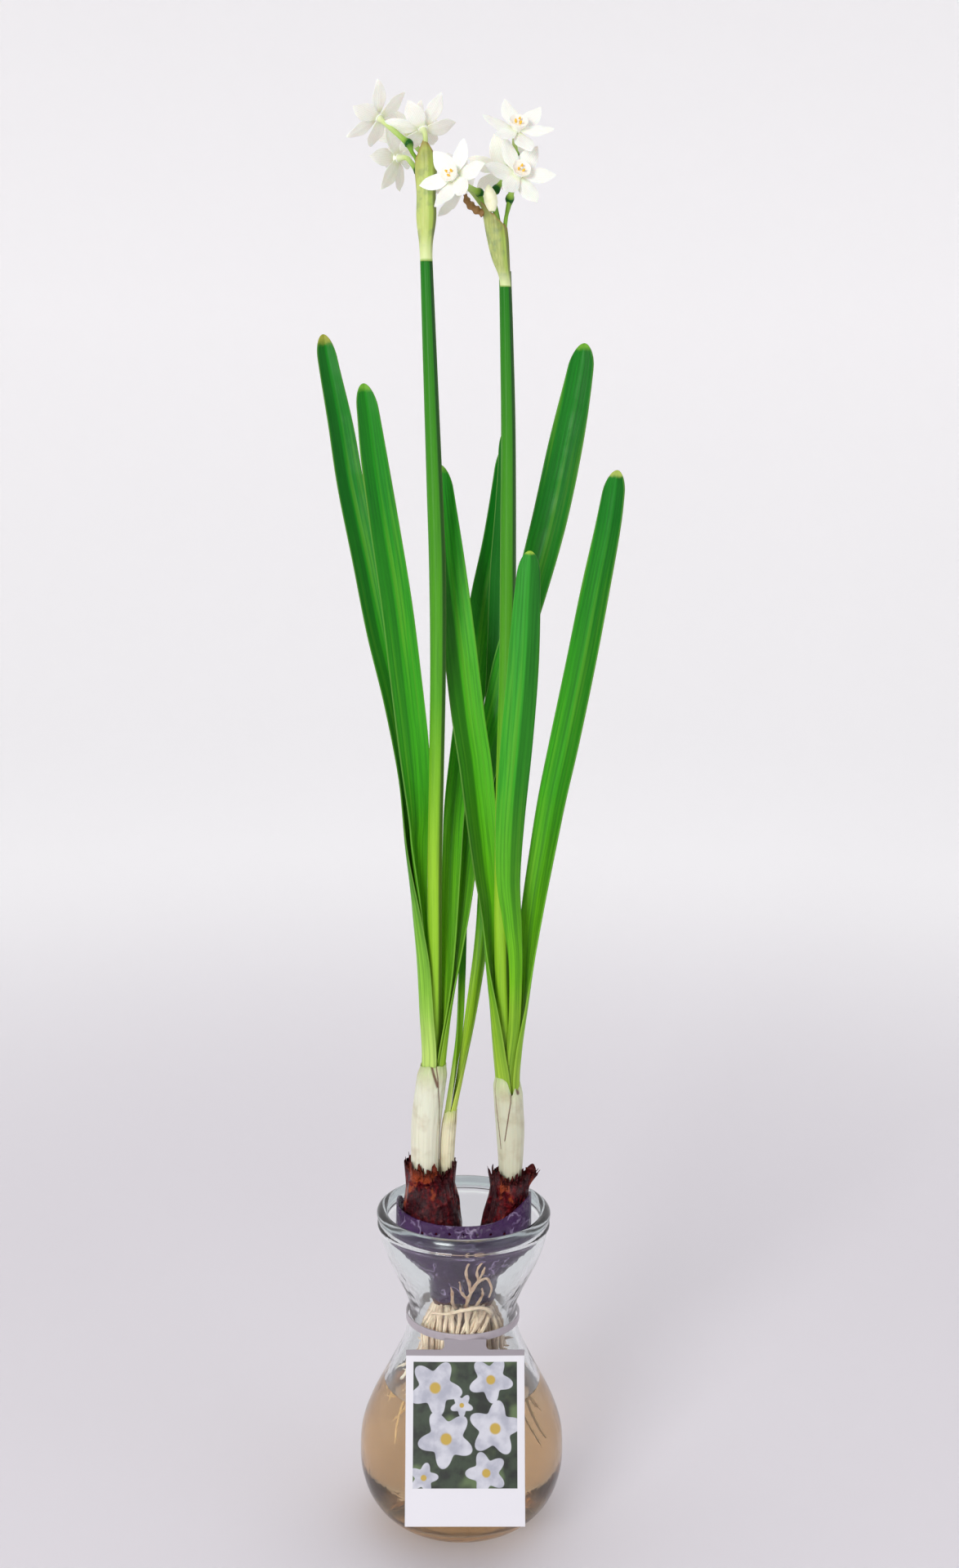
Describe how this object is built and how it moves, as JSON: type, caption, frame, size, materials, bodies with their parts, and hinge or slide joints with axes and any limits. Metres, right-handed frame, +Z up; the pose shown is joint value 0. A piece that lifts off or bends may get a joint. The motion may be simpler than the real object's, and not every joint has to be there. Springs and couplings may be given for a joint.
{
  "type": "paperwhite narcissus bulbs in a glass vase",
  "caption": "Paperwhite narcissus flowering from bulbs in water: a waisted clear glass bulb vase, tinted sleeve, neck tag, long leaves and two stems of white florets.",
  "frame": {"origin": "middle of the vase's flat foot", "axes": "+Z up along the vase's axis, -Y towards the front, where the tag hangs"},
  "size_m": [0.1329, 0.1053, 0.6452],
  "materials": {
    "clear_glass": "clear, polished",
    "water": "slightly brown water",
    "tinted_plastic": "thin translucent purple plastic",
    "printed_card": "coated card",
    "bulb_tunic": "dry papery skin, slightly glossy",
    "root": "damp, cream",
    "sheath": "satin, pale cream to green",
    "leaf": "waxy satin green",
    "stem": "waxy satin green",
    "spathe": "thin papery, pale green to brown",
    "petal": "soft satin white",
    "bud": "soft satin cream"
  },
  "bodies": {
    "root": {"glass_vase": "clear_glass", "water": "water", "bulb_sleeve": "tinted_plastic", "neck_tag": "printed_card", "bulb_left": "bulb_tunic", "bulb_right": "bulb_tunic", "roots_left": "root", "roots_right": "root", "sheath_left": "sheath", "sheath_offset": "sheath", "sheath_right": "sheath", "leaf_left_outer": "leaf", "leaf_left_inner": "leaf", "leaf_left_right_inner": "leaf", "leaf_left_right_outer": "leaf", "leaf_offset_tall": "leaf", "leaf_offset_short": "leaf", "leaf_right_left": "leaf", "leaf_right_front": "leaf", "leaf_right_outer": "leaf", "stem_left": "stem", "stem_right": "stem", "spathe_left": "spathe", "spathe_right": "spathe", "floret_left_1": "petal", "floret_left_2": "petal", "floret_left_3": "petal", "floret_left_4": "petal", "floret_right_1": "petal", "floret_right_2": "petal", "floret_right_3": "petal", "floret_right_4": "petal", "floret_right_5": "petal", "flower_bud": "bud"}
  },
  "joints": []
}
